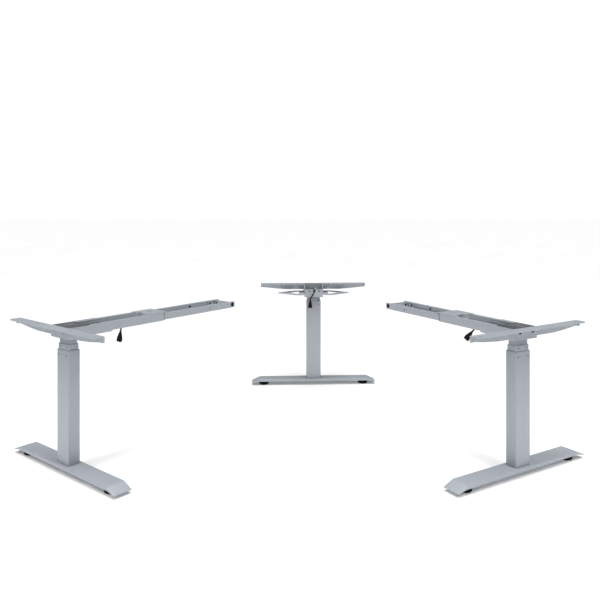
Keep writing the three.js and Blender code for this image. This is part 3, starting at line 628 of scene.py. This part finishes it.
# ---------- Beam trim ----------
# Black plastic grommets are pressed into the bracket's two big holes, and black steel screws into
# the far rail's. A black plastic pad behind the near rail's slot is painted shade, so the slot reads
# dark, and a black plastic strip on the end of each outer rail is a painted shadow line at its step.
OUTER_END = {"left": 417.0, "right": 370.0}
BEAM_END = {"left": 815.0, "right": 705.0}
NEAR_SIDE = {"left": 1, "right": -1}
SLOT_BACK = {"left": 128.0, "right": 104.0}
BEAM_MIDDLE = 548.25
RAIL_INSIDE = 56.2
EAR_INSIDE = 52.9
EAR_HOLE_OUT = 19.3
END_SCREW_BACK, INNER_SCREW_BACK = 25, 150
STRIP_MIDDLE, STRIP_OUT = 59.8, 1.3
grommet_rows = [[0, -0.9], [7, -0.9], [8.6, -0.4], [9.7, 0], [9.7, 3], [9.3, 3.2], [0, 3.2]]
for stand in SIDE_STANDS:
    end, near = BEAM_END[stand], NEAR_SIDE[stand]
    grommets = [
        squares(aimed(turned(grommet_rows, 40),
                      (side * EAR_INSIDE, end + EAR_HOLE_OUT, BEAM_MIDDLE), (side, 0, 0)), ends=False)
        for side in (-1, 1)
    ]
    made(f"{stand}_bracket_grommets", on_stand(stand, joined(*grommets)), f"{stand}_beam_slide",
         moulded_black)
    screws = [
        squares(aimed(turned(button_screw(5.5, 2.2, 2.2), 32),
                      (-near * face, end - back, BEAM_MIDDLE), (near, 0, 0)), ends=False)
        for face, back in ((EAR_INSIDE, END_SCREW_BACK), (RAIL_INSIDE, INNER_SCREW_BACK))
    ]
    made(f"{stand}_rail_screws", on_stand(stand, joined(*screws)), f"{stand}_beam_slide",
         black_oxide)
    # painted shade: a black pad behind the near rail's slot, so the slot reads dark instead of
    # showing the floor through it
    pad = aimed(framed((24, 14, 2), [(0.4, -2.4), (0, -2), (0, -0.5), (0.4, -0.1)]),
                (near * RAIL_INSIDE, end - SLOT_BACK[stand], BEAM_MIDDLE), (near, 0, 0))
    # painted shadow: black strips on the outer rails' ends stand for the dark shadow line at their
    # step onto the inner rails
    strips = [
        squares(moved(framed((2.0, 2.2, 0.6), [(0.3, 532), (0, 532.4), (0, 564.2), (0.3, 564.6)])
                      + [0, OUTER_END[stand] + STRIP_OUT, 0], side * STRIP_MIDDLE, 0))
        for side in (-1, 1)
    ]
    made(f"{stand}_shadow_line_strips", on_stand(stand, joined(*strips)), f"{stand}_head_stage",
         moulded_black)
    made(f"{stand}_slot_shade_pad", on_stand(stand, squares(pad)), f"{stand}_beam_slide",
         moulded_black)

# ---------- Motor leads ----------
# A short black lead comes out of each motor through a tapered relief and hangs down, where it
# ends in a flat moulded connector with a latch. 6.6 mm jacket of soft PVC.
LEAD_RADIUS = 3.3
LEAD_POINTS = {
    "left": [[0, 150.3, 542.8], [1, 162, 542.8], [12, 196, 542.8], [25, 215, 534.8]],
    "right": [[0, 150.3, 542.8], [-1, 162, 542.8], [-12, 184, 542.8], [-25, 203, 534.8]],
    "corner": [[3, -33.5, 531], [3, -40, 532], [2.5, -48, 531.5], [0, -56, 526],
               [-6, -60.5, 515], [-14, -60, 501]],
}
CONNECTOR_TOP = {"left": (30, 218, 516), "right": (-30, 206, 516), "corner": (-20, -58, 486)}
CONNECTOR_WAY = {"left": (-0.12, -0.08, -1), "right": (-0.8, 0.35, -1), "corner": (-0.05, 0, -1)}
LAST_STRAIGHT = {"left": 8.0, "right": 8.0, "corner": 6.0}
jacket = finish_of(
    "jacket", (0.005, 0.0053, 0.006), (0.009, 0.0094, 0.0102), (0.48, 0.6),
    grain=2200, grain_depth=0.00005, patch=60, fleck=0.1,
)
jacket.node_tree.nodes["Principled BSDF"].inputs["Specular IOR Level"].default_value = 0.12
brass = finish_of(
    "brass", (0.6, 0.42, 0.16), (0.7, 0.5, 0.2), (0.2, 0.3),
    grain=1500, grain_depth=0.00002, patch=120, metallic=1.0, fleck=0.04,
)


def lead_route(stand, steps=8):
    """The lead's centreline: a centripetal Catmull-Rom line through its points.

    Each stretch is the Hermite cubic between two points, whose end slopes weigh the chords on
    both sides by the square roots of their lengths.
    """
    way = np.array(CONNECTOR_WAY[stand], float) / np.linalg.norm(CONNECTOR_WAY[stand])
    top = np.array(CONNECTOR_TOP[stand], float)
    points = np.array([*LEAD_POINTS[stand], top - way * LAST_STRAIGHT[stand], top - way * 0.3])
    full = np.vstack([2 * points[0] - points[1], points, 2 * points[-1] - points[-2]])
    chord = np.sqrt(np.linalg.norm(np.diff(full, axis=0), axis=1))[:, None]
    slope = np.diff(full, axis=0) / chord
    across = (full[2:] - full[:-2]) / (chord[1:] + chord[:-1])
    tangent = slope[:-1] - across + slope[1:]
    start, end = tangent[:-1] * chord[1:-1], tangent[1:] * chord[1:-1]
    t = np.linspace(0, 1, steps, endpoint=False)[None, :, None]
    a, b = points[:-1, None], points[1:, None]
    line = ((2 * t**3 - 3 * t**2 + 1) * a + (t**3 - 2 * t**2 + t) * start[:, None]
            + (3 * t**2 - 2 * t**3) * b + (t**3 - t**2) * end[:, None])
    return np.vstack([line.reshape(-1, 3), points[-1:]])


def jacketed(route, radius, sides=16):
    """A round section carried along a route: each ring is centred on it and square to it.

    The rings' first direction is always the foot's own, less its part along the route.
    """
    along = np.gradient(route, axis=0)
    along /= np.linalg.norm(along, axis=1)[:, None]
    first = np.array([1.0, 0, 0]) - along * along[:, :1]
    first /= np.linalg.norm(first, axis=1)[:, None]
    second = np.cross(along, first)
    angle = (2 * np.pi * np.arange(sides) / sides)[None, :, None]
    radius = np.broadcast_to(radius, len(route))[:, None, None]
    spoke = np.cos(angle) * first[:, None] + np.sin(angle) * second[:, None]
    return route[:, None] + radius * spoke


CONNECTOR_WIDTH, CONNECTOR_THICKNESS = 22, 13
BOOT_TOP_WIDTH, BOOT_TOP_THICKNESS = 10.2, 9.4


def connector_body():
    """The boot and flat body: [width, thickness, distance below the top] at each ring.

    Both widths grow in a straight line down the boot, with shallow grip ribs on it, and then stay
    the same to the end, where the rings turn inwards to make the mouth.
    """
    rings = [(6.4, 5.8, -8.6), (9.6, 8.8, -8.9)]
    for step in range(17):
        grown = step / 16
        rib = 0.5 * (step % 2) * (step < 12)
        wide = BOOT_TOP_WIDTH + (CONNECTOR_WIDTH - BOOT_TOP_WIDTH) * grown
        thick = BOOT_TOP_THICKNESS + (CONNECTOR_THICKNESS - BOOT_TOP_THICKNESS) * grown
        rings.append((wide - rib, thick - rib, -9.6 - 22.4 * grown))
    rings += [
        (CONNECTOR_WIDTH, CONNECTOR_THICKNESS, -45.2), (21.5, 12.5, -45.8), (20.4, 11.4, -46),
        (17.6, 8.6, -46), (17, 8, -45.7), (16.8, 7.8, -37),
    ]
    return np.stack([
        np.column_stack([rounded_frame((wide, thick, 1.8)), np.full(36, below)])
        for wide, thick, below in rings
    ])


for stand in STANDS:
    route = lead_route(stand)
    lead = made(f"{stand}_motor_lead", squares(placed(stand, jacketed(route, LEAD_RADIUS))),
                f"{stand}_head_stage", jacket, [f"{stand}_lead"])
    top, way = CONNECTOR_TOP[stand], -np.array(CONNECTOR_WAY[stand], float)
    neck_rows = [[0, -9.4]] + [
        [4.6 - 0.35 * (i % 2) - 0.08 * i, -9.4 + 0.9 * i] for i in range(11)
    ] + [[3.5, -0.1], [0, -0.1]]
    latch = framed((8, 10, 1.2), [(0.8, 6.2), (0.2, 6.6), (0, 7.2), (0, 8.1), (0.5, 8.5)])
    latch = np.stack([latch[..., 0], -latch[..., 2], latch[..., 1] - 38], axis=-1)
    body = joined(
        squares(aimed(connector_body(), top, way)),
        squares(aimed(turned(neck_rows, 32), top, way), ends=False),
        squares(aimed(latch, top, way)),
    )
    connector = made(f"{stand}_connector", on_stand(stand, body), f"{stand}_head_stage",
                     moulded_black, [f"{stand}_plug"])
    pin_row = [[0, -37.2], [1.1, -37.2], [1.1, -43.2], [0.5, -44.2], [0, -44.4]]
    pins = [
        squares(aimed(moved(turned(pin_row, 16), across, 0), top, way), ends=False)
        for across in (-4.5, 0, 4.5)
    ]
    contacts = made(f"{stand}_contacts", on_stand(stand, joined(*pins)), f"{stand}_head_stage",
                    brass)
    relief_route = route[:8]
    taper = np.linspace(4.8, 3.7, len(relief_route))
    relief = made(f"{stand}_strain_relief",
                  squares(placed(stand, jacketed(relief_route, taper, 24))),
                  f"{stand}_head_stage", moulded_black)

# ---------- Floor, light and camera ----------
# A plain white studio floor under a wide overhead light, with one softer light high on each side.
FLOOR_HALF = 30.0
FLOOR_GLOW = 0.13
floor_mesh = bpy.data.meshes.new("floor")
floor_mesh.from_pydata(
    [(-FLOOR_HALF, -FLOOR_HALF, 0), (FLOOR_HALF, -FLOOR_HALF, 0), (FLOOR_HALF, FLOOR_HALF, 0),
     (-FLOOR_HALF, FLOOR_HALF, 0)], [], [(0, 1, 2, 3)],
)
floor_paint = finish_of(
    "floor_paint", (0.93, 0.93, 0.93), (0.95, 0.95, 0.95), (0.6, 0.7),
    grain=300, grain_depth=0.00002, patch=2, fleck=0.01,
)
floor_shader = floor_paint.node_tree.nodes["Principled BSDF"]
floor_shader.inputs["Emission Color"].default_value = (1, 1, 1, 1)
floor_shader.inputs["Emission Strength"].default_value = FLOOR_GLOW
floor_mesh.materials.append(floor_paint)
floor = bpy.data.objects.new("floor", floor_mesh)
bpy.context.scene.collection.objects.link(floor)


def studio_light(kind, name, energy, place, toward, **settings):
    """A lamp at a place, turned to shine toward another."""
    lamp = bpy.data.lights.new(name, kind)
    lamp.energy = energy
    for setting, value in settings.items():
        setattr(lamp, setting, value)
    held = bpy.data.objects.new(name, lamp)
    held.location = place
    way = np.subtract(toward, place)
    held.rotation_euler = (math.acos(-way[2] / np.linalg.norm(way)), 0, math.atan2(-way[0], way[1]))
    bpy.context.scene.collection.objects.link(held)
    return held


studio_light("SUN", "overhead", 3.0, (0, -0.3, 4), (0, 0, 0), angle=math.radians(50))
for name, place, toward in (("left_side", (-2.14, -2.12, 2.5), (-0.88, -0.56, 0.3)),
                            ("right_side", (1.9, -2.28, 2.5), (0.86, -0.58, 0.3))):
    softbox = studio_light("AREA", name, 12, place, toward, size=0.6, spread=math.radians(120))
    softbox.visible_camera = False

world = bpy.data.worlds.new("studio")
world.use_nodes = True
bpy.context.scene.world = world
world_tree = world.node_tree
walls = world_tree.nodes["Background"]
walls.inputs["Color"].default_value = (0.95, 0.97, 1.0, 1)
walls.inputs["Strength"].default_value = 0.06
backdrop = world_tree.nodes.new("ShaderNodeBackground")
backdrop.inputs["Color"].default_value = (1, 1, 1, 1)
backdrop.inputs["Strength"].default_value = 1.05
seen = world_tree.nodes.new("ShaderNodeLightPath")
either = world_tree.nodes.new("ShaderNodeMixShader")
world_tree.links.new(seen.outputs["Is Camera Ray"], either.inputs["Fac"])
world_tree.links.new(walls.outputs["Background"], either.inputs[1])
world_tree.links.new(backdrop.outputs["Background"], either.inputs[2])
world_tree.links.new(either.outputs["Shader"], world_tree.nodes["World Output"].inputs["Surface"])
bpy.context.scene.view_settings.view_transform = "Standard"

lens = bpy.data.cameras.new("camera")
lens.lens = 39.71
lens.sensor_width = 36.0
lens.shift_x = -0.00835
lens.shift_y = -0.1705
camera = bpy.data.objects.new("camera", lens)
camera.location = (0.0377, -3.1344, 1.0612)
camera.rotation_euler = (math.radians(90), 0, 0)
bpy.context.scene.collection.objects.link(camera)
bpy.context.scene.camera = camera
